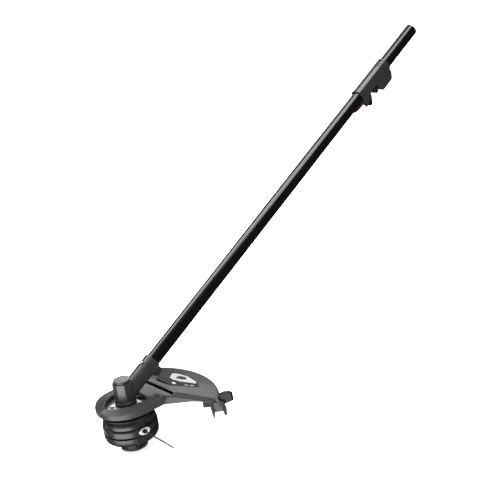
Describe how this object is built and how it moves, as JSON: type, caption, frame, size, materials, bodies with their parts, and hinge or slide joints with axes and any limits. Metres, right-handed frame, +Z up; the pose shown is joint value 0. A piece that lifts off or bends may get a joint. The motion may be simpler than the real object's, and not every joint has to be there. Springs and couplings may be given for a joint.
{
  "type": "string trimmer",
  "caption": "Straight-boom string trimmer front end: bump-feed line head, bevel gearbox, moulded debris guard with line cutter, and split tube boom with clamp coupler.",
  "frame": {"origin": "centre of the bump knob's ground face, under the spindle axis", "axes": "+Z up along the spindle; +X towards the operator, under the boom; +Y to the right of an operator facing the head"},
  "size_m": [0.929, 0.2698, 0.6153],
  "materials": {
    "black_tube": "gloss",
    "black_moulding": "satin",
    "head_moulding": "semi-gloss",
    "guard_moulding": "fine grain",
    "gearbox_casting": "satin powder coat",
    "bright_steel": "zinc plated",
    "dark_steel": "black oxide",
    "knob_moulding": "satin",
    "brass": "machined",
    "bearing_steel": "ground",
    "nitrile": "matt",
    "red_moulding": "satin",
    "label_film": "printed film",
    "nylon_line": "extruded",
    "eyelet_metal": "polished",
    "cutter_steel": "stamped sheet"
  },
  "bodies": {
    "upper_boom": {"upper_tube": "black_tube", "coupler_sleeve": "black_moulding", "coupler_clamp_bolt": "dark_steel", "coupler_upper_screw": "dark_steel", "coupler_clamp_plate": "bright_steel", "upper_shaft_bushings": "nitrile"},
    "clamp_knob": {"clamp_knob": "knob_moulding", "clamp_knob_nut": "brass"},
    "upper_drive": {"upper_drive_shaft": "bearing_steel", "drive_socket": "dark_steel"},
    "lower_boom": {"lower_tube": "black_tube", "lower_shaft_bushings": "nitrile", "button_spring": "bright_steel", "gearbox_housing": "gearbox_casting", "gearbox_cap": "gearbox_casting", "socket_clamp_bolt": "dark_steel", "tube_locating_screw": "bright_steel", "pinion_bearing_inner": "bearing_steel", "pinion_bearing_outer": "bearing_steel", "pinion_circlip": "dark_steel", "output_bearing_lower": "bearing_steel", "output_bearing_upper": "bearing_steel", "output_seal": "nitrile", "guard_plate": "bright_steel", "plate_screws": "bright_steel", "plate_retainer_ring": "dark_steel", "flange_screws": "dark_steel", "guard_shell": "guard_moulding", "label_panel": "label_film", "cutter_blade": "cutter_steel", "cutter_frame": "dark_steel", "cutter_rivets": "dark_steel", "cutter_holder": "guard_moulding"},
    "release_button": {"release_button": "red_moulding"},
    "lower_drive": {"lower_drive_shaft": "bearing_steel", "bevel_pinion": "bearing_steel"},
    "head": {"output_shaft": "bearing_steel", "bevel_gear": "bearing_steel", "drive_collar": "dark_steel", "deflector_disc": "head_moulding", "head_housing": "head_moulding", "line_eyelet_front": "eyelet_metal", "line_eyelet_back": "eyelet_metal", "lower_cap": "head_moulding", "bump_spring": "dark_steel", "line_tail_front": "nylon_line", "line_tail_back": "nylon_line"},
    "bump_knob": {"bump_knob": "knob_moulding"},
    "spool": {"spool": "knob_moulding", "line_winding": "nylon_line"}
  },
  "joints": [
    {"name": "boom_release", "type": "slide", "parent": "upper_boom", "child": "lower_boom", "axis": [-0.866, 0, -0.5], "range_m": [0, 0.06]},
    {"name": "clamp_knob_turn", "type": "hinge", "parent": "upper_boom", "child": "clamp_knob", "pos_m": [0.70247, 0.02, 0.48128], "axis": [0, 1, 0], "range_deg": [0, 720]},
    {"name": "release_button_press", "type": "slide", "parent": "lower_boom", "child": "release_button", "axis": [-0.5, 0, 0.866], "range_m": [0, 0.003], "stiffness_N_per_m": 1500, "springref_m": -0.001},
    {"name": "head_spin", "type": "hinge", "parent": "lower_boom", "child": "head", "pos_m": [0, 0, 0.066], "axis": [0, 0, 1], "continuous": true},
    {"name": "lower_drive_spin", "type": "hinge", "parent": "lower_boom", "child": "lower_drive", "pos_m": [0.34641, 0, 0.304], "axis": [0.866, 0, 0.5], "continuous": true},
    {"name": "upper_drive_spin", "type": "hinge", "parent": "upper_boom", "child": "upper_drive", "pos_m": [0.77942, 0, 0.554], "axis": [0.866, 0, 0.5], "continuous": true},
    {"name": "bump_tap", "type": "slide", "parent": "head", "child": "bump_knob", "axis": [0, 0, 1], "range_m": [0, 0.006], "stiffness_N_per_m": 800, "springref_m": -0.004},
    {"name": "spool_turn", "type": "hinge", "parent": "bump_knob", "child": "spool", "pos_m": [0, 0, 0.038], "axis": [0, 0, 1], "continuous": true}
  ],
  "couplings": [
    {"joint": "lower_drive_spin", "follows": "head_spin", "ratio": -1.3077},
    {"joint": "upper_drive_spin", "follows": "head_spin", "ratio": -1.3077}
  ]
}
